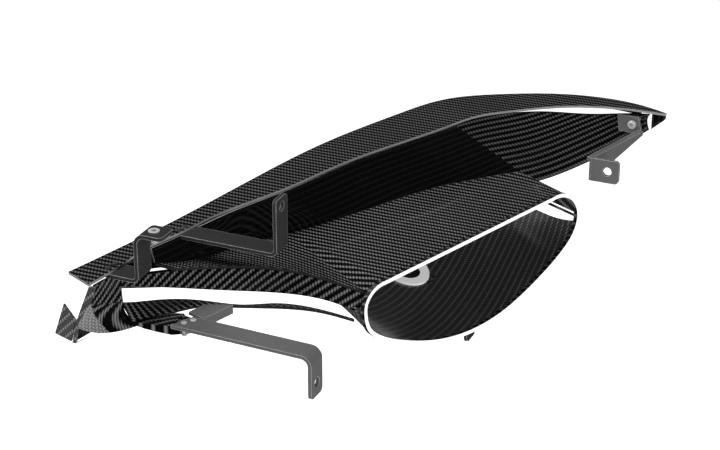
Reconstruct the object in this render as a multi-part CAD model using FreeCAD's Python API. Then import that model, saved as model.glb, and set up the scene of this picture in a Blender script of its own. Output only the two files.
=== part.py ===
import FreeCAD
import Part
import math
import os

# Corner wing element with an intake scoop. All sizes are in millimetres.
# The model is laid out from the near outer corner of the upper lip: X runs across the vehicle,
# -Y points to the vehicle, Z is up. At the end every piece is moved so that the origin is the
# centre of the bolt hole in the lower left bracket.

# Laminate, sheet metal and glue line
SKIN = 2.2
SHEET = 3.0
GAP = 0.3
DEEP = 200.0

# Upper lip: plan outline of its rear and front edges, and its turned-down border
LIP_REAR = [(0, 0), (97, -25), (211, -48), (318, -73), (402, -104), (455, -132), (484, -171),
            (505, -215), (514, -258), (510, -300), (500, -326)]
LIP_FRONT = [(-12, -25), (32, -31), (66, -34), (97, -44), (124, -50), (203, -80), (285, -107),
             (339, -131), (394, -156), (427, -172), (447, -192), (478, -232), (497, -291), (498, -324)]
RETURN_DEPTH = 7.0
RETURN_THICK = 2.0

# Hood wall: its top follows the lip, its foot is the crease of the deck
WALL_TOP = [(66, -35), (97, -45), (150, -60), (203, -81), (245, -95), (285, -108), (339, -132),
            (370, -146), (388, -154), (400, -160)]
CREASE = [(66, -38, -15), (97, -50, -24), (150, -64, -33), (206, -86, -40), (250, -112, -40),
          (296, -136, -40), (349, -166, -40), (372, -188, -39), (389, -206, -38), (402, -221, -37)]
CREASE_SPLIT = 3

# Shoulder of the scoop: the ridge at its top and the keel at its foot, from the near end
RIDGE = [(24, -33, -8), (66, -54, -16), (100, -85, -23), (130, -124, -32), (145.5, -184, -47)]
KEEL = [(20, -33, -15), (62, -56, -31), (96, -86, -43), (126, -124, -52), (136, -165, -58)]
KEEL_STEP = (2.6, 1.2, 0.8)

# D-shaped mouth in its own upright plane: S runs along the flat top edge, height is Z
MOUTH_YAW = -18.5
MOUTH_START = (163, -191)
MOUTH_CURVE = [(219, -42.5), (238, -45.5), (254, -59), (258, -72), (254, -85), (237, -100),
               (203, -115.5), (154, -129.5), (99, -130.5), (60, -122), (21.5, -107), (-9, -90),
               (-21, -78), (-25, -65), (-24, -54), (-18, -47), (-5, -42.8)]
MOUTH_FLOOR = [(257, -78)] + MOUTH_CURVE[4:14]
DECK_FRONT = [(-5, -41.5), (60, -41), (120, -41), (180, -41), (219, -41.2), (238, -44.2)]
OUTLINE_POINTS = 90
RIM_OUT = 1.2
RIM_IN = 2.2
RIM_DEPTH = 4.0
CORNER_CUT = ((219, -46), (255.5, -69))
STRIP_GAP = 1.4
STRIP_WIDTH = 2.2
CORNER_SKIN = 2.0

# Scoop floor and outer skin: the seam where they meet, then the far end of each
SEAM = [(30, -14, -15), (110, -34, -40), (160, -45, -54), (182, -49, -60), (205, -53, -65),
        (240, -60, -73), (258, -64, -78), (278, -69, -83), (305, -76, -88), (333, -84, -91),
        (366, -95, -89), (402, -111, -82)]
FLOOR_END = [(421, -124, -76), (434, -142, -74), (439, -163, -72), (440, -186, -75)]
SKIRT_FOOT = [(436, -131, -101), (458, -148, -99), (477, -173, -94), (495, -208, -86),
              (507, -250, -65), (507, -290, -37), (503, -310, -20)]
SKIN_FOOT = [(30, -14, -13), (110, -34, -37), (160, -45, -51), (182, -49, -57), (205, -53, -62),
             (240, -60, -70), (258, -64, -75), (278, -69, -80), (305, -76, -85), (333, -84, -91),
             (366, -97, -97), (402, -113, -101)]
SKIN_TOP = [(30, -14, -3), (110, -34, -3), (160, -45, -3), (182, -49, -3), (205, -53, -3),
            (240, -60, -3), (258, -64, -3), (278, -69, -3), (305, -76, -3), (333, -84, -3),
            (366, -95, -3), (402, -111, -4), (436, -131, -10), (458, -148, -14),
            (477, -173, -16), (495, -208, -15), (507, -250, -15), (507, -290, -8),
            (503, -310, -4)]
FLOOR_SAG = 7.0
SKIN_BULGE = 3.0

# Duct outlet in the scoop floor
OUTLET = (314, -148)
OUTLET_OUTER = 21.0
OUTLET_INNER = 13.0
OUTLET_RING = 2.0
SPIGOT_WALL = 2.0
SPIGOT_LENGTH = 24.0

# Near end: web, cove, end plate, fin and gusset
WEB_TOP = [(-8, -28, -3), (8, -31, -3), (22, -32.5, -7)]
WEB_FOOT = [(-8, -24, -19), (8, -28, -26), (25, -32, -30)]
COVE_MIDDLE = [(-10, -16, -30), (8, -22, -40), (31, -32, -46)]
COVE_FRONT = [(-12, -13, -40), (3, -20, -50), (36, -40, -54)]
END_PLATE = [(-25, -2.5), (-30, -2.5), (-26, -15), (-14, -35), (-10, -54), (-7, -54), (-12, -34)]
FIN = [(-1.5, -22), (8, -49), (-6, -53), (-11, -34)]
PLATE_X = -12.0
GUSSET = [(-9.4, -15.3, -34.5), (-9.4, -9.5, -53), (3, -15, -50.5)]
GUSSET_SKIN = 1.6
BEAD = [(-9.4, -10.2, -54.5), (-3, -12.6, -54.5), (7, -16.8, -54.5), (17, -21.5, -54.5),
        (27, -28, -55), (32, -32.5, -56)]
BEAD_SIZE = 2.2

# Lower blade: rear and front edges from the near end to the foot of the mouth
BLADE_REAR = [(28, -30, -33), (46, -33, -40), (67, -42, -46), (83, -66, -49), (100, -96, -55),
              (118, -116, -58), (130, -153, -62), (135, -178, -67)]
BLADE_FRONT = [(30, -36, -50), (42, -44, -50), (56, -55, -50), (77, -70, -51), (88, -92, -51),
               (102, -117, -53), (121, -157, -58), (130, -181, -65)]

# Boss under the blade: sections across it from the cove to the lower left bracket, each given
# by its Y, the X of its two sides and the Z of its foot and top
BOSS = [(-35, 33, 40, -54, -51), (-44, 34.5, 50, -56.5, -51), (-55, 37, 58, -58.5, -51.2),
        (-65, 39, 61, -59.5, -51.2), (-65.6, 39, 61, -59.5, -52.6), (-78, 46, 58, -59, -52.8)]
BOSS_CHAMFER = 1.0

# Cross bar: an angle section that runs from the boss to the scoop, parallel to the mouth
CROSS_START = (58.3, -83.5)
CROSS_LENGTH = 40.0
CROSS_WIDTH = 17.0
CROSS_DROP = 8.0
CROSS_TOP = -50.5
CROSS_THICK = 2.5

# Flat-bar brackets: side X, then the path of the lower face in Y and Z
BAR = 20.0
BEND = 6.0
CORNER = 4.0
HOLE_D = 8.4
TAB_HOLE_D = 5.5
UPPER_LEFT_X = 12.0
UPPER_LEFT = [(-18, -5.2), (-54.5, -5.2), (-54.5, 33.8), (-75.5, 33.8)]
UPPER_LEFT_HOLE = (-64, 33.8 + SHEET)
UPPER_INNER_X = 95.5
UPPER_INNER = [(-37, -5.2), (-130, -5.2), (-130, 43)]
UPPER_INNER_HOLE = (-130 + SHEET / 2, 35)
LOWER_LEFT_X = 37.0
LOWER_LEFT = [(-58, -52.5), (-183.5, -55), (-183.5, -89.5)]
LOWER_LEFT_HOLE = (-183.5 - SHEET / 2, -77.8)
LOWER_LEFT_ROOT = -66.0
ROOT_YAW = -25.0
LOWER_RIGHT_X = 306.0
LOWER_RIGHT = [(-166, -123.6), (-204, -130), (-208, -166.5)]
LOWER_RIGHT_HOLE = (-207.7, -154.5)

# Centre of the bolt hole in the lower left bracket, half way through its plate
ORIGIN = (LOWER_LEFT_X + BAR / 2, LOWER_LEFT_HOLE[0], LOWER_LEFT_HOLE[1])

# Tip bracket: ear against the skirt, tapered web, tab with the bolt hole
EAR_X = 499.5
EAR = [(-304, -24), (-282, -24), (-280, -8), (-300, -8)]
WEB_START = (421, -282)
WEB_END = (500, -305)
WEB_TOP_Z = -21.0
WEB_DEPTH = (22.0, 4.0)
FLANGE = 5.5
TAB_X = 421.0
TAB = (-307, -281, -43, -21)
TAB_HOLE = (-296, -32)

# Closing piece at the far tip: plan, and side view as (y, z)
TIP_CAP = [(499.8, -325.5), (498, -324), (502.6, -311.6), (504.9, -311.6)]
TIP_CAP_SIDE = [(-311.6, -SKIN), (-311.6, -19), (-326, -5), (-326, -SKIN)]

# Fasteners
LIP_RIVETS = [(18, -24.5), (26, -26), (99, -40.5), (107, -42.5)]
BOSS_RIVETS = [(44, -74), (51, -78.5)]
FLOOR_RIVETS = [(311, -172), (321, -172)]
FLOOR_RIVET_TOP = -116.6
BOSS_RIVET_TOP = -49.8
FLOOR_STACK = 8.4
BOSS_STACK = 9.0
RIVET_R = 1.6
RIVET_HEAD_R = 2.6
RIVET_HEAD = 1.2
FIT = 0.05
SCREW = (-294, -16)
SCREW_R = 2.5
SCREW_HEAD_R = 4.2
SCREW_HEAD = 2.6
SCREW_LENGTH = 15.5
PACKER = (-301, -286, -23, -10)
PACKER_THICK = 4.2
NUT_FLATS = 8.0
NUT_HEIGHT = 3.0
NUT_THREAD_R = 2.0
NUT_FLANGE_R = 4.5
NUT_FLANGE = 0.8
NUT_BODY = 9.0


def vector(point):
    """Vector from two or three numbers; a missing height is zero."""
    return FreeCAD.Vector(*point)


def spline(points):
    """Smooth edge through the points."""
    curve = Part.BSplineCurve()
    curve.interpolate([vector(point) for point in points])
    return curve.toShape()


def spread(points, count):
    """Evenly spaced points on the smooth edge through the given points."""
    return spline(points).discretize(Number=count)


def at_height(points, height):
    """Plan points lifted to one height."""
    return [(point[0], point[1], height) for point in points]


def shift(points, offset):
    """Points moved by one offset."""
    return [vector(point) + vector(offset) for point in points]


def mouth_point(s, height):
    """Point of the mouth plane."""
    yaw = math.radians(MOUTH_YAW)
    return (MOUTH_START[0] + s * math.cos(yaw), MOUTH_START[1] + s * math.sin(yaw), height)


def ruled_panel(first, second, thickness):
    """Laminate panel ruled between two smooth edges."""
    face = Part.makeRuledSurface(spline(first), spline(second))
    return face.makeOffsetShape(thickness, 0.01, fill=True)


def surface_panel(rows, thickness):
    """Laminate panel on a smooth surface through rows of points."""
    surface = Part.makeLoft([Part.Wire(spline(row)) for row in rows], False, False)
    return surface.makeOffsetShape(thickness, 0.01, fill=True)


def polygon(points):
    """Flat face with straight sides."""
    corners = [vector(point) for point in points]
    return Part.Face(Part.makePolygon(corners + corners[:1]))


def middle(first, second, offset):
    """Row of points halfway between two rows, moved by an offset."""
    rows = zip(first, second)
    return [(vector(a) + vector(b)) * 0.5 + vector(offset) for a, b in rows]


def cylinder(radius, height, base, axis=(0, 0, 1)):
    """Round bar from its base point along an axis."""
    return Part.makeCylinder(radius, height, vector(base), vector(axis))


# Upper lip -----------------------------------------------------------------------------------

def upper_lip():
    """Flat curved shelf with rivet holes near its front edge."""
    outline = Part.Wire([spline(at_height(LIP_REAR, 0)),
                         Part.makeLine(vector(LIP_REAR[-1]), vector(LIP_FRONT[-1])),
                         spline(at_height(LIP_FRONT, 0)),
                         Part.makeLine(vector(LIP_FRONT[0]), vector(LIP_REAR[0]))])
    shelf = Part.Face(outline).extrude(FreeCAD.Vector(0, 0, -SKIN))
    return shelf.cut(bores(LIP_RIVETS, -12, 8))


def lip_return():
    """Turned-down border under the rear edge of the lip."""
    top = at_height(LIP_REAR[1:-1], -SKIN)
    foot = at_height(LIP_REAR[1:-1], -SKIN - RETURN_DEPTH)
    return ruled_panel(top, foot, -RETURN_THICK)


# Hood and scoop ------------------------------------------------------------------------------

def hood_wall():
    """Sloping wall from the lip down to the deck."""
    return ruled_panel(at_height(WALL_TOP, -SKIN - GAP), CREASE, SKIN)


def deck():
    """Roof of the scoop, from the crease to the ridge and the flat edge of the mouth."""
    rear = spread(CREASE[:CREASE_SPLIT + 1], 9) + spread(CREASE[CREASE_SPLIT:], 13)[1:]
    mouth_edge = [mouth_point(s, height) for s, height in DECK_FRONT]
    front = spread(RIDGE[1:], 9) + spread(mouth_edge, 12)
    return ruled_panel(rear, front, SKIN)


def shoulder():
    """Short side wall between the ridge and the keel."""
    top = shift(RIDGE, (0, 0, -SKIN - GAP))
    foot = KEEL + [mouth_point(*MOUTH_FLOOR[-1])]
    return ruled_panel(top, foot, SKIN)


def floor_front():
    """Front edge of the scoop floor: inside the keel, then the round part of the mouth."""
    return shift(KEEL, KEEL_STEP) + [mouth_point(s, height) for s, height in reversed(MOUTH_FLOOR)]


def scoop_floor():
    """Bellied floor between the mouth and the seam with the outer skin."""
    front = floor_front()
    rear = SEAM + FLOOR_END
    shell = surface_panel([front, middle(front, rear, (0, 0, -FLOOR_SAG)), rear], SKIN)
    return shell.cut(cylinder(OUTLET_INNER, DEEP, OUTLET + (-DEEP,)))


def largest(shape):
    """The main solid of a shape that a cut may have left in several."""
    return max(shape.Solids, key=lambda solid: solid.Volume)


def below(shape):
    """The lowest of the solids in a shape."""
    return min(shape.Solids, key=lambda solid: solid.CenterOfMass.z)


def tube(outer, inner, low, high):
    """Upright tube at the duct outlet."""
    wall = cylinder(outer, high - low, OUTLET + (low,))
    return wall.cut(cylinder(inner, high - low, OUTLET + (low,)))


def outlet_ring(floor):
    """Thin ring bonded on the floor round the outlet, which follows the floor."""
    raised = floor.copy()
    raised.translate(FreeCAD.Vector(0, 0, OUTLET_RING))
    return largest(raised.common(tube(OUTLET_OUTER, OUTLET_INNER, -DEEP, 0)).cut(floor))


def outlet_spigot(floor):
    """Hose spigot under the floor at the outlet."""
    outer = OUTLET_INNER + SPIGOT_WALL
    seat = floor.common(cylinder(outer, DEEP, OUTLET + (-DEEP,)))
    foot = seat.optimalBoundingBox().ZMin - SPIGOT_LENGTH
    return below(tube(outer, OUTLET_INNER, foot, 0).cut(floor))


def mouth_face(offset):
    """D-shaped face in the local plane of the mouth, grown or shrunk by an offset."""
    points = [FreeCAD.Vector(s, height, 0) for s, height in MOUTH_CURVE]
    outline = Part.Wire([spline(points), Part.makeLine(points[-1], points[0])])
    curve = Part.BSplineCurve()
    places = outline.makeOffset2D(offset).discretize(Number=OUTLINE_POINTS)
    curve.interpolate(places[:-1], PeriodicFlag=True)
    return Part.Face(Part.Wire(curve.toShape()))


def stand_up(shape):
    """Local mouth-plane shape moved to its place: local Y goes up, local Z goes forward."""
    placed = shape.copy()
    placed.rotate(FreeCAD.Vector(), FreeCAD.Vector(1, 0, 0), 90)
    placed.rotate(FreeCAD.Vector(), FreeCAD.Vector(0, 0, 1), MOUTH_YAW)
    placed.translate(FreeCAD.Vector(MOUTH_START[0], MOUTH_START[1], 0))
    return placed


def mouth_rim():
    """Moulded D ring on the front of the mouth."""
    ring = mouth_face(RIM_OUT).cut(mouth_face(-RIM_IN))
    return stand_up(largest(ring.extrude(FreeCAD.Vector(0, 0, RIM_DEPTH))))


def corner_piece(start, end):
    """Flat piece in the mouth's right corner, between two lines parallel to its slanted cut."""
    first, last = (FreeCAD.Vector(s, height, 0) for s, height in CORNER_CUT)
    run = (last - first).normalize()
    up = FreeCAD.Vector(-run.y, run.x, 0)
    first = first - run * DEEP
    last = last + run * DEEP
    band = Part.Face(Part.makePolygon([first + up * start, last + up * start, last + up * end,
                                       first + up * end, first + up * start]))
    face = mouth_face(-RIM_IN).common(band)
    piece = largest(face.extrude(FreeCAD.Vector(0, 0, CORNER_SKIN)))
    piece.translate(FreeCAD.Vector(0, 0, (RIM_DEPTH - CORNER_SKIN) / 2))
    return stand_up(piece)


def outer_skin():
    """Outer wall of the scoop; past the hood it is the skirt at the far end."""
    foot = SKIN_FOOT + SKIRT_FOOT
    bulge = (SKIN_BULGE, SKIN_BULGE, 0)
    return surface_panel([foot, middle(foot, SKIN_TOP, bulge), SKIN_TOP], -SKIN)


# Near end and lower blade --------------------------------------------------------------------

def lower_blade():
    """Narrow lower wing element, twisted from the near end to the foot of the mouth."""
    return ruled_panel(BLADE_REAR, BLADE_FRONT, SKIN)


def corner_gusset():
    """Small facet between the end plate and the cove."""
    first, second, third = (vector(point) for point in GUSSET)
    normal = (second - first).cross(third - first).normalize()
    return polygon(GUSSET).extrude(normal * -GUSSET_SKIN)


def edge_bead():
    """Square bead along the lower front edge of the cove."""
    return ruled_panel(BEAD, shift(BEAD, (0, 0, -BEAD_SIZE)), BEAD_SIZE)


def boss():
    """Tapered block under the blade that takes the lower left bracket."""
    sections = [Part.makePolygon([vector(point) for point in
                                  ((near, y, foot), (far, y, foot), (far, y, top),
                                   (near + (far - near) / 3, y, top), (near, y, top - BOSS_CHAMFER),
                                   (near, y, foot))])
                for y, near, far, foot, top in BOSS]
    return Part.makeLoft(sections, True, True)


def blade_plan():
    """Upright prism over the plan of the lower blade."""
    front = spline(at_height(BLADE_FRONT, -DEEP))
    rear = spline(at_height(BLADE_REAR, -DEEP))
    ends = [Part.makeLine(front.Vertexes[k].Point, rear.Vertexes[k].Point) for k in (0, -1)]
    outline = Part.Wire(Part.__sortEdges__([front, rear] + ends))
    return Part.Face(outline).extrude(FreeCAD.Vector(0, 0, DEEP))


def cross_bar():
    """Angle section: a flat top with a flange turned down along its front."""
    top = Part.makeBox(CROSS_LENGTH, CROSS_WIDTH, CROSS_THICK)
    flange = Part.makeBox(CROSS_LENGTH, CROSS_THICK, CROSS_DROP,
                          FreeCAD.Vector(0, 0, CROSS_THICK - CROSS_DROP))
    bar = top.fuse(flange).removeSplitter()
    bar.rotate(FreeCAD.Vector(), FreeCAD.Vector(0, 0, 1), MOUTH_YAW)
    bar.translate(vector(CROSS_START + (CROSS_TOP - CROSS_THICK,)))
    return largest(bar.cut(blade_plan()))


def upright(points, thickness):
    """Plate in the YZ plane at the near end."""
    return polygon([(PLATE_X, y, z) for y, z in points]).extrude(FreeCAD.Vector(thickness, 0, 0))


# Brackets ------------------------------------------------------------------------------------

def rounded_path(points, radius):
    """Open wire of straight runs joined by tangent arcs."""
    corners = [FreeCAD.Vector(a, b, 0) for a, b in points]
    start = corners[0]
    edges = []
    for before, corner, after in zip(corners, corners[1:], corners[2:]):
        inward = (corner - before).normalize()
        outward = (after - corner).normalize()
        half_turn = inward.getAngle(outward) / 2
        reach = radius * math.tan(half_turn)
        first = corner - inward * reach
        last = corner + outward * reach
        to_centre = (outward - inward).normalize()
        centre = corner + to_centre * (radius / math.cos(half_turn))
        crown = centre - to_centre * radius
        edges.append(Part.makeLine(start, first))
        edges.append(Part.Arc(first, crown, last).toShape())
        start = last
    edges.append(Part.makeLine(start, corners[-1]))
    return Part.Wire(edges)


def bent_bar(x, path, thickness):
    """Flat bar bent along a path in Y and Z, with rounded ends."""
    profile = rounded_path(path, BEND)
    face = profile.makeOffset2D(thickness, join=0, fill=True, openResult=True)
    bar = face.extrude(FreeCAD.Vector(0, 0, BAR))
    axes = (FreeCAD.Vector(0, 1, 0), FreeCAD.Vector(0, 0, 1), FreeCAD.Vector(1, 0, 0))
    bar.Placement = FreeCAD.Placement(FreeCAD.Vector(x, 0, 0), FreeCAD.Rotation(*axes, "XYZ"))
    return bar


def round_ends(bar, thickness):
    """Rounds the four corners at the two ends of a flat bar."""
    corners = [edge for edge in bar.Edges if abs(edge.Length - thickness) < 0.01]
    return bar.makeFillet(CORNER, corners)


def bracket(x, path, hole, diameter, upward=False):
    """Bent flat bar with rounded ends and one bolt hole through its plate or tab."""
    bar = round_ends(bent_bar(x, path, SHEET), SHEET)
    y, z = hole
    if upward:
        drill = cylinder(diameter / 2, 20, (x + BAR / 2, y, z - 10))
    else:
        drill = cylinder(diameter / 2, 20, (x + BAR / 2, y - 10, z), (0, 1, 0))
    return bar.cut(drill)


def tip_packer():
    """Packing plate between the tip bracket's ear and the skirt."""
    back, front, foot, head = PACKER
    plate = Part.makeBox(PACKER_THICK, front - back, head - foot,
                         FreeCAD.Vector(EAR_X + SHEET, back, foot))
    return plate.cut(screw_bore())


def root_cut():
    """Space past the lower left bracket's root, which is cut on a slant."""
    block = Part.makeBox(3 * BAR, 3 * BAR, 3 * BAR, FreeCAD.Vector(-BAR, 0, -BAR))
    block.rotate(FreeCAD.Vector(), FreeCAD.Vector(0, 0, 1), ROOT_YAW)
    block.translate(FreeCAD.Vector(LOWER_LEFT_X, LOWER_LEFT_ROOT, LOWER_LEFT[0][1]))
    return block


def tip_cap():
    """Closing piece between lip and skirt, which narrows to the far tip."""
    plan = polygon(at_height(TIP_CAP, -SKIN)).extrude(FreeCAD.Vector(0, 0, -DEEP))
    side = polygon([(0, y, z) for y, z in TIP_CAP_SIDE]).extrude(FreeCAD.Vector(3 * DEEP, 0, 0))
    return largest(plan.common(side))


def leg_slots():
    """Clear space round the two upper brackets' legs, cut from the panels that they cross."""
    slots = []
    for x, path in ((UPPER_LEFT_X, UPPER_LEFT), (UPPER_INNER_X, UPPER_INNER)):
        start, corner = path[0][0], path[1][0]
        slots.append(Part.makeBox(BAR + 2 * GAP, start - corner + 2 * GAP, SHEET + 2 * GAP,
                                  FreeCAD.Vector(x - GAP, corner - GAP, -SKIN - SHEET - GAP)))
    return Part.makeCompound(slots)


def tip_bracket():
    """Folded bracket at the far end: ear, tapered web with a top flange, and tab."""
    ear = polygon([(EAR_X, y, z) for y, z in EAR]).extrude(FreeCAD.Vector(SHEET, 0, 0))
    run = vector(WEB_END + (0,)) - vector(WEB_START + (0,))
    side = FreeCAD.Vector(-run.y, run.x, 0).normalize()
    near, far = WEB_DEPTH
    top = WEB_TOP_Z
    web = polygon([WEB_START + (top,), WEB_END + (top,), WEB_END + (top - far,),
                   WEB_START + (top - near,)]).extrude(side * SHEET)
    flange = polygon([WEB_START + (top,), WEB_END + (top,), WEB_END + (top - SHEET,),
                      WEB_START + (top - SHEET,)]).extrude(side * FLANGE)
    back, front, foot, head = TAB
    tab = Part.makeBox(SHEET, front - back, head - foot, FreeCAD.Vector(TAB_X, back, foot))
    free = [edge for edge in tab.Edges
            if abs(edge.Length - SHEET) < 0.01 and edge.CenterOfMass.y < back + 1]
    tab = tab.makeFillet(CORNER, free)
    hole = cylinder(HOLE_D / 2, 20, (TAB_X - 10,) + TAB_HOLE, (1, 0, 0))
    joined = ear.fuse([web, flange, tab]).removeSplitter()
    return joined.cut(hole).cut(screw_bore())


# Fasteners -----------------------------------------------------------------------------------

def rivet(x, y, top, grip):
    """Domed blind rivet set through a grip of the given depth."""
    head = cylinder(RIVET_HEAD_R, RIVET_HEAD, (x, y, top))
    head = head.makeFillet(RIVET_HEAD * 0.8, [head.Edges[0]])
    shank = cylinder(RIVET_R, grip, (x, y, top - grip))
    tail = cylinder(RIVET_HEAD_R * 0.85, RIVET_HEAD, (x, y, top - grip - RIVET_HEAD))
    return head.fuse([shank, tail])


def bores(places, low, high):
    """Rivet holes with a small clearance."""
    drills = [cylinder(RIVET_R + FIT, high - low, (x, y, low)) for x, y in places]
    return Part.makeCompound(drills)


def screw_bore():
    """Hole for the tip screw through the ear and the skirt."""
    return cylinder(SCREW_R + FIT, 30, (EAR_X - 10,) + SCREW, (1, 0, 0))


def tip_screw():
    """Round-head screw with a cross recess in its head."""
    y, z = SCREW
    head = cylinder(SCREW_HEAD_R, SCREW_HEAD, (EAR_X, y, z), (-1, 0, 0))
    head = head.makeFillet(SCREW_HEAD * 0.8, [head.Edges[0]])
    shank = cylinder(SCREW_R, SCREW_LENGTH, (EAR_X, y, z), (1, 0, 0))
    recess = Part.makeBox(1.4, 4.4, 1.0, FreeCAD.Vector(EAR_X - SCREW_HEAD, y - 2.2, z - 0.5))
    cross = Part.makeBox(1.4, 1.0, 4.4, FreeCAD.Vector(EAR_X - SCREW_HEAD, y - 0.5, z - 2.2))
    return head.fuse(shank).cut(recess.fuse(cross))


def tip_nut():
    """Hexagon nut on the screw's end, clear of the skirt."""
    y, z = SCREW
    corner = NUT_FLATS / math.sqrt(3)
    angles = [math.radians(60 * k) for k in range(6)]
    face = polygon([(EAR_X + SCREW_LENGTH - NUT_HEIGHT, y + corner * math.cos(angle),
                     z + corner * math.sin(angle)) for angle in angles])
    nut = face.extrude(FreeCAD.Vector(NUT_HEIGHT, 0, 0))
    return nut.cut(screw_bore())


def tab_nut():
    """Blind threaded insert in the upper left bracket's tab."""
    y, z = UPPER_LEFT_HOLE
    x = UPPER_LEFT_X + BAR / 2
    flange = cylinder(NUT_FLANGE_R, NUT_FLANGE, (x, y, z))
    body = cylinder(TAB_HOLE_D / 2 - FIT, NUT_BODY, (x, y, z - NUT_BODY))
    thread = cylinder(NUT_THREAD_R, DEEP, (x, y, z - DEEP / 2))
    return flange.fuse(body).removeSplitter().cut(thread)


def rivet_group(places, top, grip):
    """Separate rivets that share one size."""
    return Part.makeCompound([rivet(x, y, top, grip) for x, y in places])


def rivet_holes():
    """Clearance holes for every rivet."""
    return Part.makeCompound([bores(LIP_RIVETS, -12, 8), bores(BOSS_RIVETS, -66, -44),
                              bores(FLOOR_RIVETS, -130, -110)])


def panels(slots):
    """Laminate panels of the hood and the scoop, trimmed where one meets the next."""
    lip = upper_lip()
    border = lip_return()
    roof = deck()
    floor_rivets = rivet_group(FLOOR_RIVETS, FLOOR_RIVET_TOP, FLOOR_STACK)
    floor = largest(scoop_floor().cut(rivet_holes()).cut(floor_rivets))
    side = largest(shoulder().cut(roof).cut(floor).cut(slots))
    skin = largest(outer_skin().cut(slots).cut(screw_bore()).cut(floor).cut(border).cut(lip))
    return {
        "upper_lip": lip,
        "lip_return": border,
        "hood_wall": largest(hood_wall().cut(slots).cut(roof)),
        "deck": roof,
        "shoulder": side,
        "scoop_floor": floor,
        "outer_skin": skin,
        "end_web": largest(ruled_panel(WEB_TOP, WEB_FOOT, -SKIN).cut(slots).cut(side)),
    }


def main():
    pieces = panels(leg_slots())
    floor = pieces["scoop_floor"]
    plate = upright(END_PLATE, SKIN)
    blade = ruled_panel(BLADE_REAR, BLADE_FRONT, SKIN)
    boss_rivets = rivet_group(BOSS_RIVETS, BOSS_RIVET_TOP, BOSS_STACK)
    block = boss().cut(blade)
    holes = rivet_holes()
    upper_left = bracket(UPPER_LEFT_X, UPPER_LEFT, UPPER_LEFT_HOLE, TAB_HOLE_D, True)
    upper_inner = bracket(UPPER_INNER_X, UPPER_INNER, UPPER_INNER_HOLE, HOLE_D)
    lower_left = bracket(LOWER_LEFT_X, LOWER_LEFT, LOWER_LEFT_HOLE, HOLE_D).cut(root_cut())
    lower_right = bracket(LOWER_RIGHT_X, LOWER_RIGHT, LOWER_RIGHT_HOLE, HOLE_D)
    cove = surface_panel([WEB_FOOT, COVE_MIDDLE, COVE_FRONT], SKIN).cut(plate).cut(blade)
    cove = largest(cove.cut(block))
    pieces.update({
        "mouth_rim": mouth_rim(),
        "mouth_corner_plate": corner_piece(0, DEEP),
        "mouth_corner_strip": corner_piece(-STRIP_GAP - STRIP_WIDTH, -STRIP_GAP),
        "outlet_ring": outlet_ring(floor),
        "outlet_spigot": outlet_spigot(floor),
        "tip_cap": tip_cap(),
        "cove": cove,
        "lower_edge_bead": edge_bead(),
        "corner_gusset": largest(corner_gusset().cut(cove)),
        "end_plate": plate,
        "rear_fin": upright(FIN, SKIN),
        "lower_blade": blade,
        "mounting_boss": largest(block.cut(holes).cut(boss_rivets)),
        "cross_bar": largest(cross_bar().cut(block).cut(blade)),
        "bracket_upper_left": upper_left.cut(holes),
        "bracket_upper_inner": upper_inner.cut(holes),
        "bracket_lower_left": lower_left.cut(holes),
        "bracket_lower_right": lower_right.cut(holes),
        "bracket_tip": tip_bracket(),
        "tip_packer": tip_packer(),
        "tab_rivet_nut": tab_nut(),
        "tip_screw": tip_screw(),
        "tip_nut": tip_nut(),
        "lip_rivets": rivet_group(LIP_RIVETS, 0, SKIN + SHEET),
        "boss_rivets": boss_rivets,
        "floor_rivets": rivet_group(FLOOR_RIVETS, FLOOR_RIVET_TOP, FLOOR_STACK),
    })
    os.makedirs("parts", exist_ok=True)
    for name, shape in pieces.items():
        shape.translate(-vector(ORIGIN))
        shape.exportStep("parts/" + name + ".step")
        print(name, shape.isValid(), len(shape.Solids), round(shape.Volume), shape.BoundBox)


main()
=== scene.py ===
import bpy
import math
import numpy as np
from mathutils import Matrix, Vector


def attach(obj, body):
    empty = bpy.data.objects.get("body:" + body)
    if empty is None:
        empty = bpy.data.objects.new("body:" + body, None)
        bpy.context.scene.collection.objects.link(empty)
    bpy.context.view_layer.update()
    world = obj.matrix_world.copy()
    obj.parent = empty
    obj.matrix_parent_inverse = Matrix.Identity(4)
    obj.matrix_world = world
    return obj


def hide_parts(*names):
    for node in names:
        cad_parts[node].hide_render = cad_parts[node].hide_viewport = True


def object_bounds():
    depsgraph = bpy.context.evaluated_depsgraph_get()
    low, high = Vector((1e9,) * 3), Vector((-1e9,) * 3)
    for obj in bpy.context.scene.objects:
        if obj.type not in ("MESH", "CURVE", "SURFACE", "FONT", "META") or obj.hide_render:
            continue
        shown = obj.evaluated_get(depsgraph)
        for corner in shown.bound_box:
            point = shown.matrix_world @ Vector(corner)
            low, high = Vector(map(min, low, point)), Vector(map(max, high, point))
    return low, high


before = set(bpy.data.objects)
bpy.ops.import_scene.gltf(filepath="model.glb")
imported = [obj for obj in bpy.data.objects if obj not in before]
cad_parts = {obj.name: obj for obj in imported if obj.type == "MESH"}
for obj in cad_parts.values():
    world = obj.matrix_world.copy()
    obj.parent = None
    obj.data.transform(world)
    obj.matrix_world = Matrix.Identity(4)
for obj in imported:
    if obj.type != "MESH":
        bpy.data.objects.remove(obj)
cad_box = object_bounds()

# Corner wing element with an intake scoop. The laminate's outlines are in millimetres from the near
# outer corner of the upper lip; at() moves them to the row frame, whose origin is the bolt hole of
# the lower left bracket, in metres.
MM = 0.001
ORIGIN = (47.0, -185.0, -77.8)
SKIN = 2.2
GAP = 0.3
EDGE_ROUND = 0.45
ROUND_FROM = math.radians(50)
EDGE_SHARP = math.radians(35)

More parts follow.
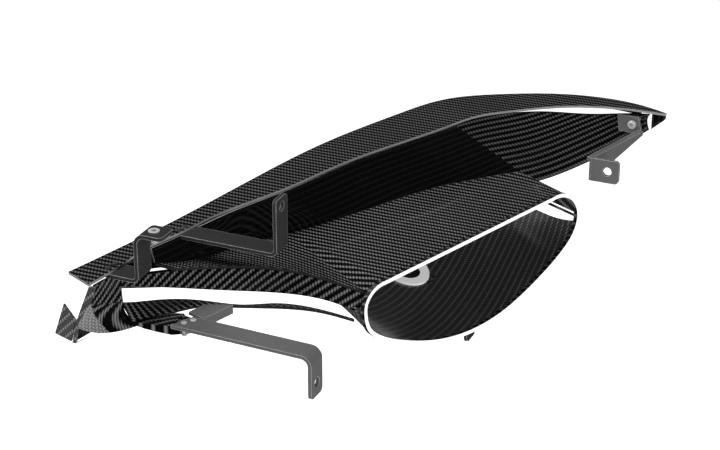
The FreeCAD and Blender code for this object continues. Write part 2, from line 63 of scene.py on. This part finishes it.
LIP_REAR = [(0, 0), (97, -25), (211, -48), (318, -73), (402, -104), (455, -132), (484, -171),
            (505, -215), (514, -258), (510, -300), (500, -326)]
LIP_FRONT = [(-12, -25), (32, -31), (66, -34), (97, -44), (124, -50), (203, -80), (285, -107),
             (339, -131), (394, -156), (427, -172), (447, -192), (478, -232), (497, -291), (498, -324)]
RETURN_DEPTH = 7.0
RETURN_THICK = 2.0
WALL_TOP = [(66, -35), (97, -45), (150, -60), (203, -81), (245, -95), (285, -108), (339, -132),
            (370, -146), (388, -154), (400, -160)]
CREASE = [(66, -38, -15), (97, -50, -24), (150, -64, -33), (206, -86, -40), (250, -112, -40),
          (296, -136, -40), (349, -166, -40), (372, -188, -39), (389, -206, -38), (402, -221, -37)]
CREASE_SPLIT = 3
RIDGE = [(24, -33, -8), (66, -54, -16), (100, -85, -23), (130, -124, -32), (145.5, -184, -47)]
KEEL = [(20, -33, -15), (62, -56, -31), (96, -86, -43), (126, -124, -52), (136, -165, -58)]
MOUTH_YAW = math.radians(-18.5)
MOUTH_START = (163, -191)
MOUTH_CURVE = [(219, -42.5), (238, -45.5), (254, -59), (258, -72), (254, -85), (237, -100),
               (203, -115.5), (154, -129.5), (99, -130.5), (60, -122), (21.5, -107), (-9, -90),
               (-21, -78), (-25, -65), (-24, -54), (-18, -47), (-5, -42.8)]
MOUTH_FLOOR = [(257, -78)] + MOUTH_CURVE[4:14]
DECK_FRONT = [(-5, -41.5), (60, -41), (120, -41), (180, -41), (219, -41.2), (238, -44.2)]
SKIN_FOOT = [(30, -14, -13), (110, -34, -37), (160, -45, -51), (182, -49, -57), (205, -53, -62),
             (240, -60, -70), (258, -64, -75), (278, -69, -80), (305, -76, -85), (333, -84, -91),
             (366, -97, -97), (402, -113, -101)]
SKIRT_FOOT = [(436, -131, -101), (458, -148, -99), (477, -173, -94), (495, -208, -86),
              (507, -250, -65), (507, -290, -37), (503, -310, -20)]
SKIN_TOP = [(30, -14, -3), (110, -34, -3), (160, -45, -3), (182, -49, -3), (205, -53, -3),
            (240, -60, -3), (258, -64, -3), (278, -69, -3), (305, -76, -3), (333, -84, -3),
            (366, -95, -3), (402, -111, -4), (436, -131, -10), (458, -148, -14),
            (477, -173, -16), (495, -208, -15), (507, -250, -15), (507, -290, -8),
            (503, -310, -4)]
SKIN_BULGE = 3.0
WEB_TOP = [(-8, -28, -3), (8, -31, -3), (22, -32.5, -7)]
WEB_FOOT = [(-8, -24, -19), (8, -28, -26), (25, -32, -30)]
BLADE_REAR = [(28, -30, -33), (46, -33, -40), (67, -42, -46), (83, -66, -49), (100, -96, -55),
              (118, -116, -58), (130, -153, -62), (135, -178, -67)]
BLADE_FRONT = [(30, -36, -50), (42, -44, -50), (56, -55, -50), (77, -70, -51), (88, -92, -51),
               (102, -117, -53), (121, -157, -58), (130, -181, -65)]

MOUTH_NORMAL = Vector((math.sin(MOUTH_YAW), -math.cos(MOUTH_YAW), 0.0))

# Least share of a rim face's normal that points out of the mouth on the rim's bright front
FORWARD = 0.7

# Border on the cove between bare laminate and twill: its upper end, and its run per unit of drop
COVE_LAP = (-8, -24, -19)
COVE_SLANT = 0.62

# Weave: width of one tow, tows in one repeat, and the turn of the cloth on a panel
TOW = 0.002
REPEAT = 4
ALONG = math.radians(-45)
ACROSS = math.radians(45)
RISING = 0.0


# Outlines and meshes -------------------------------------------------------------------------

def at(point):
    """Outline point in the row frame, in metres."""
    return tuple((a - b) * MM for a, b in zip(point, ORIGIN))


def lifted(points, height):
    """Plan points at one height."""
    return [(p[0], p[1], height) for p in points]


def mouth_point(s, height):
    """Point of the mouth's upright plane."""
    return (MOUTH_START[0] + s * math.cos(MOUTH_YAW), MOUTH_START[1] + s * math.sin(MOUTH_YAW), height)


def smooth(points, count):
    """Evenly spread points on the natural cubic spline through the given points."""
    p = np.array(points, float)
    t = np.concatenate([[0.0], np.cumsum(np.linalg.norm(np.diff(p, axis=0), axis=1))])
    n = len(p)
    h = np.diff(t)
    a = np.eye(n)
    b = np.zeros_like(p)
    for i in range(1, n - 1):
        a[i, i - 1:i + 2] = h[i - 1], 2 * (h[i - 1] + h[i]), h[i]
        b[i] = 6 * ((p[i + 1] - p[i]) / h[i] - (p[i] - p[i - 1]) / h[i - 1])
    m = np.linalg.solve(a, b)
    at_t = np.linspace(0.0, t[-1], count)
    i = np.clip(np.searchsorted(t, at_t, side="right") - 1, 0, n - 2)
    x = ((at_t - t[i]) / h[i])[:, None]
    k = (h[i] ** 2)[:, None] / 6
    bend = ((1 - x) ** 3 - (1 - x)) * m[i] + (x ** 3 - x) * m[i + 1]
    return (1 - x) * p[i] + x * p[i + 1] + k * bend


def blend_rows(rows, across):
    """Grid of points from two or three rows: straight between two, a parabola through three."""
    t = np.linspace(0.0, 1.0, across)[:, None, None]
    if len(rows) == 2:
        return (1 - t) * rows[0] + t * rows[1]
    first, centre, last = rows
    return 2 * (t - 0.5) * (t - 1) * first - 4 * t * (t - 1) * centre + 2 * t * (t - 0.5) * last


def lay_out(grid):
    """Cloth coordinates in millimetres: length along the middle row, and across each column."""
    mid = grid[len(grid) // 2]
    along = np.concatenate([[0.0], np.cumsum(np.linalg.norm(np.diff(mid, axis=0), axis=1))])
    steps = np.linalg.norm(np.diff(grid, axis=0), axis=2)
    across = np.concatenate([np.zeros((1, grid.shape[1])), np.cumsum(steps, axis=0)])
    return np.dstack([np.broadcast_to(along, across.shape), across])


def plan(grid):
    """Cloth coordinates taken straight from the plan."""
    return grid[:, :, :2]


def finish_mesh(piece):
    """Applies the modifiers and keeps hard edges hard."""
    graph = bpy.context.evaluated_depsgraph_get()
    mesh = bpy.data.meshes.new_from_object(piece.evaluated_get(graph))
    piece.modifiers.clear()
    piece.data = mesh
    mesh.shade_smooth()
    mesh.set_sharp_from_angle(angle=EDGE_SHARP)


def link(name, mesh, materials):
    """Object with its materials, in the scene."""
    piece = bpy.data.objects.new(name, mesh)
    bpy.context.scene.collection.objects.link(piece)
    for material in materials:
        mesh.materials.append(material)
    return piece


def panel(name, node, grid, cloth, materials, side=1.0, thick=SKIN):
    """Laminate sheet with a real thickness, rounded cut edges and cloth coordinates."""
    rows, cols = grid.shape[:2]
    verts = [at(p) for p in grid.reshape(-1, 3)]
    quads = [(j * cols + i, j * cols + i + 1, (j + 1) * cols + i + 1, (j + 1) * cols + i)
             for j in range(rows - 1) for i in range(cols - 1)]
    mesh = bpy.data.meshes.new(name)
    mesh.from_pydata(verts, [], quads)
    layer = mesh.uv_layers.new(name="cloth")
    flat = cloth.reshape(-1, 2) * MM
    for loop in mesh.loops:
        layer.data[loop.index].uv = flat[loop.vertex_index]
    piece = link(name, mesh, materials)
    shell = piece.modifiers.new("shell", "SOLIDIFY")
    shell.thickness = thick * MM
    shell.offset = side
    shell.use_even_offset = True
    shell.material_offset_rim = 1
    bevel = piece.modifiers.new("round", "BEVEL")
    bevel.width = EDGE_ROUND * MM
    bevel.segments = 2
    bevel.limit_method = "ANGLE"
    bevel.angle_limit = ROUND_FROM
    finish_mesh(piece)
    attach(piece, "root")
    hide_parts(node)
    return piece


# Materials -----------------------------------------------------------------------------------

# Powers that flatten a tow's section and its rise, and that set the painted shade at its edges and in
# the gaps between tows
CROWN_SHAPE = 0.5
RISE_SHAPE = 0.6
EDGE_SHADE = 1.6
GAP_SHADE = 0.3

# Noise scales per metre
CLOUD = 14.0
FIBRE = 900.0
METAL_CLOUD = 60.0
RESIN_CLOUD = 220.0
PLASTIC_CLOUD = 40.0
PLASTIC_GRAIN = 1500.0

# Share of each noise in the twill's tone, and the tone without them
NOISE_SHARE = 0.5
TONE_FLOOR = 0.45

# Heights of surface relief, in metres
TOW_RELIEF = 0.0003
FINE_RELIEF = 0.0002
GRAIN_RELIEF = 0.0001

# Painted edge highlight on metal, partly also bare cut metal: reach in metres, and how fast it shows as
# the edge turns
EDGE_HIGHLIGHT_REACH = 0.0007
EDGE_HIGHLIGHT_GAIN = 5.0

def start(name):
    """New material with its tree and its Principled shader."""
    material = bpy.data.materials.new(name)
    material.use_nodes = True
    tree = material.node_tree
    return material, tree, tree.nodes["Principled BSDF"]


def math_node(tree, kind, first, second=None):
    """Maths node fed by sockets or numbers."""
    node = tree.nodes.new("ShaderNodeMath")
    node.operation = kind
    for socket, value in zip(node.inputs, (first, second)):
        if value is None:
            continue
        if isinstance(value, (int, float)):
            socket.default_value = value
        else:
            tree.links.new(value, socket)
    return node.outputs[0]


def mix_numbers(tree, factor, low, high):
    """low where factor is 0, high where it is 1."""
    node = tree.nodes.new("ShaderNodeMix")
    for socket, value in zip(node.inputs[0:1] + node.inputs[2:4], (factor, low, high)):
        if isinstance(value, (int, float)):
            socket.default_value = value
        else:
            tree.links.new(value, socket)
    return node.outputs[0]


def mix_colours(tree, factor, low, high):
    """Colour mix from sockets or colours."""
    node = tree.nodes.new("ShaderNodeMix")
    node.data_type = "RGBA"
    for socket, value in zip((node.inputs[0], node.inputs[6], node.inputs[7]), (factor, low, high)):
        if isinstance(value, (int, float, tuple)):
            socket.default_value = value
        else:
            tree.links.new(value, socket)
    return node.outputs[2]


def grey(value):
    """Opaque neutral colour."""
    return (value, value, value * 1.01, 1.0)


def noise(tree, vector, scale, detail=3.0):
    """Noise value at a scale per metre."""
    node = tree.nodes.new("ShaderNodeTexNoise")
    node.inputs["Scale"].default_value = scale
    node.inputs["Detail"].default_value = detail
    tree.links.new(vector, node.inputs["Vector"])
    return node.outputs[0]


def add_relief(tree, shader, height, strength, distance):
    """Bump on the shader's normal, from a height."""
    relief = tree.nodes.new("ShaderNodeBump")
    relief.inputs["Strength"].default_value = strength
    relief.inputs["Distance"].default_value = distance
    tree.links.new(height, relief.inputs["Height"])
    tree.links.new(relief.outputs[0], shader.inputs["Normal"])
    return relief


def weave(tree, source, turn):
    """Two by two twill: returns which tow is on top, and the height of its surface."""
    mapping = tree.nodes.new("ShaderNodeMapping")
    mapping.inputs["Rotation"].default_value = (0, 0, turn)
    mapping.inputs["Scale"].default_value = (1 / TOW, 1 / TOW, 1)
    tree.links.new(source, mapping.inputs["Vector"])
    split = tree.nodes.new("ShaderNodeSeparateXYZ")
    tree.links.new(mapping.outputs[0], split.inputs[0])
    u, v = split.outputs[0], split.outputs[1]
    column = math_node(tree, "FLOOR", u)
    row = math_node(tree, "FLOOR", v)
    order = math_node(tree, "FLOORED_MODULO", math_node(tree, "ADD", column, row), REPEAT)
    warp = math_node(tree, "LESS_THAN", order, (REPEAT - 1) / 2)
    run_warp = math_node(tree, "FLOORED_MODULO", math_node(tree, "ADD", column, v), REPEAT)
    run_weft = math_node(tree, "FLOORED_MODULO", math_node(tree, "ADD", u, row), REPEAT)
    run_weft = math_node(tree, "SUBTRACT", run_weft, REPEAT / 2)
    run = mix_numbers(tree, warp, run_weft, run_warp)
    width = mix_numbers(tree, warp, math_node(tree, "FRACT", v), math_node(tree, "FRACT", u))
    rise = math_node(tree, "SINE", math_node(tree, "MULTIPLY", run, math.pi / 2))
    crown = math_node(tree, "SINE", math_node(tree, "MULTIPLY", width, math.pi))
    crown = math_node(tree, "POWER", math_node(tree, "MAXIMUM", crown, 0.0), CROWN_SHAPE)
    rise = math_node(tree, "POWER", math_node(tree, "MAXIMUM", rise, 0.0), RISE_SHAPE)
    height = math_node(tree, "MULTIPLY", crown, rise)
    return warp, height


def face_on(tree, plane):
    """Object coordinates turned so that the two named axes come first."""
    split = tree.nodes.new("ShaderNodeSeparateXYZ")
    tree.links.new(tree.nodes.new("ShaderNodeTexCoord").outputs["Object"], split.inputs[0])
    join = tree.nodes.new("ShaderNodeCombineXYZ")
    for socket, axis in zip(join.inputs, plane):
        tree.links.new(split.outputs[axis], socket)
    return join.outputs[0]


def twill(name, turn, light, dark, coat_rough=0.04, rough=0.42, plane="", bump=0.25):
    """Clear-coated carbon twill: the tow direction that catches the light is painted pale in the base
    colour as a painted highlight, the other stays dark.

    It follows the panel's cloth coordinates, or lies flat on the named plane.
    """
    material, tree, shader = start(name)
    if plane:
        source = face_on(tree, plane)
    else:
        source = tree.nodes.new("ShaderNodeUVMap").outputs[0]
    warp, height = weave(tree, source, turn)
    object_space = tree.nodes.new("ShaderNodeTexCoord").outputs["Object"]
    cloud = noise(tree, object_space, CLOUD)
    fibre = noise(tree, object_space, FIBRE, 2.0)
    # Painted highlight: tows of one direction get the pale tone, the others the dark one; towards each
    # tow's edges the colour fades to painted shade.
    shade = mix_colours(tree, warp, grey(dark), grey(light))
    depth = math_node(tree, "POWER", height, EDGE_SHADE)
    gap = mix_colours(tree, depth, grey(dark * GAP_SHADE), shade)
    tone = math_node(tree, "ADD", math_node(tree, "MULTIPLY", cloud, NOISE_SHARE),
                     math_node(tree, "MULTIPLY", fibre, NOISE_SHARE))
    tone = math_node(tree, "ADD", tone, TONE_FLOOR)
    final = tree.nodes.new("ShaderNodeVectorMath")
    final.operation = "SCALE"
    tree.links.new(gap, final.inputs[0])
    tree.links.new(tone, final.inputs["Scale"])
    tree.links.new(final.outputs[0], shader.inputs["Base Color"])
    add_relief(tree, shader, height, bump, TOW_RELIEF)
    shader.inputs["Roughness"].default_value = rough
    shader.inputs["Specular IOR Level"].default_value = 0.1
    shader.inputs["Coat Weight"].default_value = 1.0
    shader.inputs["Coat Roughness"].default_value = coat_rough
    return material


def edge_tone(tree, reach):
    """1 along rounded edges, 0 on flat faces, with the bevelled normal."""
    bevel = tree.nodes.new("ShaderNodeBevel")
    bevel.samples = 6
    bevel.inputs["Radius"].default_value = reach
    geometry = tree.nodes.new("ShaderNodeNewGeometry")
    dot = tree.nodes.new("ShaderNodeVectorMath")
    dot.operation = "DOT_PRODUCT"
    tree.links.new(bevel.outputs[0], dot.inputs[0])
    tree.links.new(geometry.outputs["Normal"], dot.inputs[1])
    turned = math_node(tree, "SUBTRACT", 1.0, dot.outputs["Value"])
    edge_glint = math_node(tree, "MULTIPLY", turned, EDGE_HIGHLIGHT_GAIN)
    return math_node(tree, "MINIMUM", edge_glint, 1.0), bevel.outputs[0]


def metal(name, tone, edge_highlight, rough, metallic=0.75, grain=(40.0, 1200.0, 1200.0)):
    """Satin flat-bar metal with a fine rolled grain, cloudy tone and a painted highlight along the
    edges, partly also bare cut metal.
    """
    material, tree, shader = start(name)
    space = tree.nodes.new("ShaderNodeTexCoord").outputs["Object"]
    mapping = tree.nodes.new("ShaderNodeMapping")
    mapping.inputs["Scale"].default_value = grain
    tree.links.new(space, mapping.inputs["Vector"])
    lines = noise(tree, mapping.outputs[0], 1.0, 2.0)
    cloud = noise(tree, space, METAL_CLOUD)
    edge, normal = edge_tone(tree, EDGE_HIGHLIGHT_REACH)
    base = mix_colours(tree, math_node(tree, "MULTIPLY", cloud, 0.6), grey(tone), grey(tone * 1.5))
    # Edges get a paler colour: painted highlight, partly also the bare metal of the cut edges.
    base = mix_colours(tree, edge, base, grey(edge_highlight))
    tree.links.new(base, shader.inputs["Base Color"])
    tree.links.new(mix_numbers(tree, lines, rough * 0.8, rough * 1.25), shader.inputs["Roughness"])
    relief = add_relief(tree, shader, lines, 0.08, FINE_RELIEF)
    tree.links.new(normal, relief.inputs["Normal"])
    shader.inputs["Metallic"].default_value = metallic
    return material


def resin(name, tone, painted_glow):
    """Smooth cut or moulded laminate edge in one cloudy tone, with painted light from emission if
    asked.
    """
    material, tree, shader = start(name)
    space = tree.nodes.new("ShaderNodeTexCoord").outputs["Object"]
    cloud = noise(tree, space, RESIN_CLOUD)
    tree.links.new(mix_colours(tree, cloud, grey(tone * 0.86), grey(tone)), shader.inputs["Base Color"])
    shader.inputs["Roughness"].default_value = 0.25
    shader.inputs["Coat Weight"].default_value = 0.6
    shader.inputs["Emission Color"].default_value = grey(1.0)
    shader.inputs["Emission Strength"].default_value = painted_glow
    add_relief(tree, shader, cloud, 0.15, FINE_RELIEF)
    return material


def plastic(name, tone, rough):
    """Moulded plastic with a fine texture."""
    material, tree, shader = start(name)
    space = tree.nodes.new("ShaderNodeTexCoord").outputs["Object"]
    grain = noise(tree, space, PLASTIC_GRAIN)
    cloud = noise(tree, space, PLASTIC_CLOUD)
    tree.links.new(mix_colours(tree, cloud, grey(tone * 0.85), grey(tone)), shader.inputs["Base Color"])
    shader.inputs["Roughness"].default_value = rough
    add_relief(tree, shader, grain, 0.1, GRAIN_RELIEF)
    return material


carbon_flat = twill("carbon_flat", ACROSS, 0.22, 0.002)
carbon_lip = twill("carbon_lip", ACROSS, 0.17, 0.002, coat_rough=0.06)
carbon_skirt = twill("carbon_skirt", ALONG, 0.12, 0.002, coat_rough=0.05)
carbon_inside = twill("carbon_inside", ALONG, 0.20, 0.07, coat_rough=0.15, plane="XY")
carbon_side = twill("carbon_side", RISING, 0.20, 0.002)
carbon_pale = twill("carbon_pale", ACROSS, 0.34, 0.30, coat_rough=0.15, plane="XZ", bump=0.05)
carbon_plate = twill("carbon_plate", RISING, 0.26, 0.09, coat_rough=0.15, plane="YZ")
carbon_corner = twill("carbon_corner", RISING, 0.15, 0.01, plane="XZ")
carbon_boss = twill("carbon_boss", RISING, 0.22, 0.002, plane="XY")
gloss = twill("gloss_laminate", ALONG, 0.008, 0.002, coat_rough=0.03)
gloss_plain = twill("gloss_plain", ALONG, 0.02, 0.004, coat_rough=0.03, plane="XY")
# Light grey cut edge of the lip and hood: partly the laminate's own edge colour, and on the hood's far
# edge a painted highlight line standing for a reflection.
highlit_cut_edge = resin("highlit_cut_edge", 0.30, 0.0)
dark_edge = resin("dark_edge", 0.02, 0.0)
# White rim and bead edges: their emission of 0.35 is painted light that glows without being a lamp,
# lifting them to full white.
bright_edge = resin("bright_edge", 0.95, 0.35)
bracket_grey = metal("bracket_grey", 0.14, 0.8, 0.40, metallic=0.3)
bracket_dark = metal("bracket_dark", 0.03, 0.7, 0.35, metallic=0.2)
bright_metal = metal("bright_metal", 0.6, 0.9, 0.25, metallic=0.4)
rivet_metal = metal("rivet_metal", 0.05, 0.5, 0.3, metallic=0.4)
# Outlet ring: its emission of 0.3 is painted light that glows without being a lamp, lifting the ring
# where its recess is in shade.
ring_resin = resin("ring_resin", 0.9, 0.3)
# Near-black plastic of the outlet spigot: partly its own colour, and partly painted shade standing for
# the dark inside of the outlet hole.
outlet_shade = plastic("duct_plastic", 0.03, 0.5)


# Laminate panels -----------------------------------------------------------------------------

def deck_grid():
    """Deck between the crease and the ridge with the flat edge of the mouth."""
    rear = np.vstack([smooth(CREASE[:CREASE_SPLIT + 1], 25), smooth(CREASE[CREASE_SPLIT:], 61)[1:]])
    edge = smooth([mouth_point(s, h) for s, h in DECK_FRONT], 60)
    front = np.vstack([smooth(RIDGE[1:], 25), edge])
    return blend_rows([rear, front], 24)


def skin_grid():
    """Outer wall and skirt between its foot and the lip."""
    foot = SKIN_FOOT + SKIRT_FOOT
    centre = [((a + d) / 2 + SKIN_BULGE, (b + e) / 2 + SKIN_BULGE, (c + f) / 2)
              for (a, b, c), (d, e, f) in zip(foot, SKIN_TOP)]
    return blend_rows([smooth(row, 170) for row in (foot, centre, SKIN_TOP)], 26)


def make_panels():
    """Every laminate panel, each over its own CAD node."""
    lip = blend_rows([smooth(lifted(LIP_FRONT, 0), 150), smooth(lifted(LIP_REAR, 0), 150)], 14)
    panel("lip_shell", "upper_lip", lip, plan(lip), [carbon_lip, highlit_cut_edge], side=-1.0)
    rear = smooth(lifted(LIP_REAR[1:-1], -SKIN), 120)
    border = blend_rows([rear, rear - np.array([0, 0, RETURN_DEPTH])], 5)
    panel("lip_border", "lip_return", border, lay_out(border), [carbon_lip, highlit_cut_edge], side=-1.0,
          thick=RETURN_THICK)
    wall = blend_rows([smooth(lifted(WALL_TOP, -SKIN - GAP), 110), smooth(CREASE, 110)], 12)
    panel("hood_panel", "hood_wall", wall, lay_out(wall), [gloss, highlit_cut_edge])
    deck = deck_grid()
    panel("deck_panel", "deck", deck, plan(deck), [carbon_flat, dark_edge])
    foot = KEEL + [mouth_point(*MOUTH_FLOOR[-1])]
    side = blend_rows([smooth([(x, y, z - SKIN - GAP) for x, y, z in RIDGE], 70),
                       smooth(foot, 70)], 10)
    panel("shoulder_panel", "shoulder", side, lay_out(side), [carbon_side, dark_edge])
    skin = skin_grid()
    panel("skirt_panel", "outer_skin", skin, lay_out(skin), [carbon_skirt, dark_edge])
    blade = blend_rows([smooth(BLADE_REAR, 80), smooth(BLADE_FRONT, 80)], 8)
    panel("blade_panel", "lower_blade", blade, lay_out(blade), [carbon_flat, dark_edge])
    web = blend_rows([smooth(WEB_TOP, 20), smooth(WEB_FOOT, 20)], 10)
    panel("web_panel", "end_web", web, lay_out(web), [carbon_side, dark_edge])


def two_tone(piece, keeps, other):
    """Gives a second material to the faces that the test doesn't keep."""
    piece.data.materials.append(other)
    for face in piece.data.polygons:
        face.material_index = 0 if keeps(face) else 1


def looks_forward(face):
    """True on the front of the mouth rim."""
    return face.normal.dot(MOUTH_NORMAL) > FORWARD


def bare_cove(face):
    """True on the cove's bare corner, before the twill that runs on into the blade."""
    start_x, _, start_z = at(COVE_LAP)
    return face.center.x - start_x < (start_z - face.center.z) * COVE_SLANT


def dress_nodes():
    """Materials of the CAD pieces that stay as they are."""
    finish = {
        "scoop_floor": carbon_inside, "mouth_rim": bright_edge, "lower_edge_bead": bright_edge,
        "mouth_corner_plate": carbon_corner, "mouth_corner_strip": carbon_corner,
        "outlet_ring": ring_resin, "outlet_spigot": outlet_shade, "tip_cap": gloss_plain,
        "corner_gusset": gloss_plain, "cove": carbon_pale,
        "end_plate": carbon_plate, "rear_fin": carbon_plate, "mounting_boss": carbon_boss,
        "cross_bar": bracket_grey, "bracket_lower_left": bracket_grey,
        "bracket_lower_right": bracket_dark, "bracket_upper_left": bracket_dark,
        "bracket_upper_inner": bracket_dark, "bracket_tip": bracket_grey,
        "tip_packer": bracket_dark, "tab_rivet_nut": bright_metal, "tip_screw": bright_metal,
        "tip_nut": bright_metal, "lip_rivets": rivet_metal, "boss_rivets": bright_metal,
        "floor_rivets": rivet_metal,
    }
    for node, material in finish.items():
        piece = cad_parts[node]
        piece.data.materials.clear()
        piece.data.materials.append(material)
    two_tone(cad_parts["mouth_rim"], looks_forward, carbon_corner)
    two_tone(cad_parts["cove"], bare_cove, carbon_boss)


# Studio --------------------------------------------------------------------------------------

EYE = (-1157.5, -758.7, 676.2)
AIM = (167.2, -168.9, 0.0)
LENS = 100.0
FAR = 20.0

# Floor: size and drop below the object in metres. The surroundings' brightness, as lit and as seen
FLOOR_SIZE = 30.0
FLOOR_DROP = 0.35
FLOOR_GLOW = 0.8
FLOOR_TONE = 0.9
DIM = 0.03
PALE = 1.0

# Lights aim at one point: name, place, width and depth in metres, power, and if gloss mirrors it
LIGHT_AIM = (0.2, 0.0, 0.0)
LIGHTS = [("key", (-0.2, 0.6, 1.8), 1.6, 0.8, 40.0, False),
          ("front", (-0.5, -1.5, 0.5), 0.8, 0.8, 14.0, False),
          ("sky", (-0.4, 0.9, 1.3), 2.4, 1.6, 6.0, True)]


def add_camera():
    """Camera at a long lens, above the mouth and to its left."""
    camera = bpy.data.cameras.new("camera")
    camera.lens = LENS
    camera.clip_end = FAR
    holder = bpy.data.objects.new("camera", camera)
    holder.location = at(EYE)
    direction = Vector(at(AIM)) - Vector(at(EYE))
    holder.rotation_euler = direction.to_track_quat("-Z", "Y").to_euler()
    bpy.context.scene.collection.objects.link(holder)
    bpy.context.scene.camera = holder


def add_light(name, place, width, depth, power, mirrored):
    """Rectangular soft light, which gloss mirrors or not."""
    light = bpy.data.lights.new(name, "AREA")
    light.shape = "RECTANGLE"
    light.size = width
    light.size_y = depth
    light.energy = power
    holder = bpy.data.objects.new(name, light)
    holder.visible_glossy = mirrored
    holder.location = place
    holder.rotation_euler = (Vector(LIGHT_AIM) - Vector(place)).to_track_quat("-Z", "Y").to_euler()
    bpy.context.scene.collection.objects.link(holder)


def add_studio():
    """Pale floor, dim surroundings with a bright backdrop, and three soft lights."""
    height = cad_box[0][2] - FLOOR_DROP
    bpy.ops.mesh.primitive_plane_add(size=FLOOR_SIZE, location=(0, 0, height))
    floor = bpy.context.object
    floor.name = "studio_floor"
    material, tree, shader = start("studio_floor")
    shader.inputs["Base Color"].default_value = grey(FLOOR_TONE)
    shader.inputs["Roughness"].default_value = 0.9
    shader.inputs["Emission Color"].default_value = grey(1.0)
    shader.inputs["Emission Strength"].default_value = FLOOR_GLOW
    floor.data.materials.append(material)
    floor.visible_glossy = False
    world = bpy.data.worlds.new("studio")
    world.use_nodes = True
    tree = world.node_tree
    background = tree.nodes["Background"]
    path = tree.nodes.new("ShaderNodeLightPath")
    tree.links.new(mix_numbers(tree, path.outputs["Is Camera Ray"], DIM, PALE),
                   background.inputs["Strength"])
    background.inputs["Color"].default_value = grey(1.0)
    bpy.context.scene.world = world
    for light in LIGHTS:
        add_light(*light)
    bpy.context.scene.view_settings.view_transform = "Standard"


make_panels()
dress_nodes()
add_camera()
add_studio()
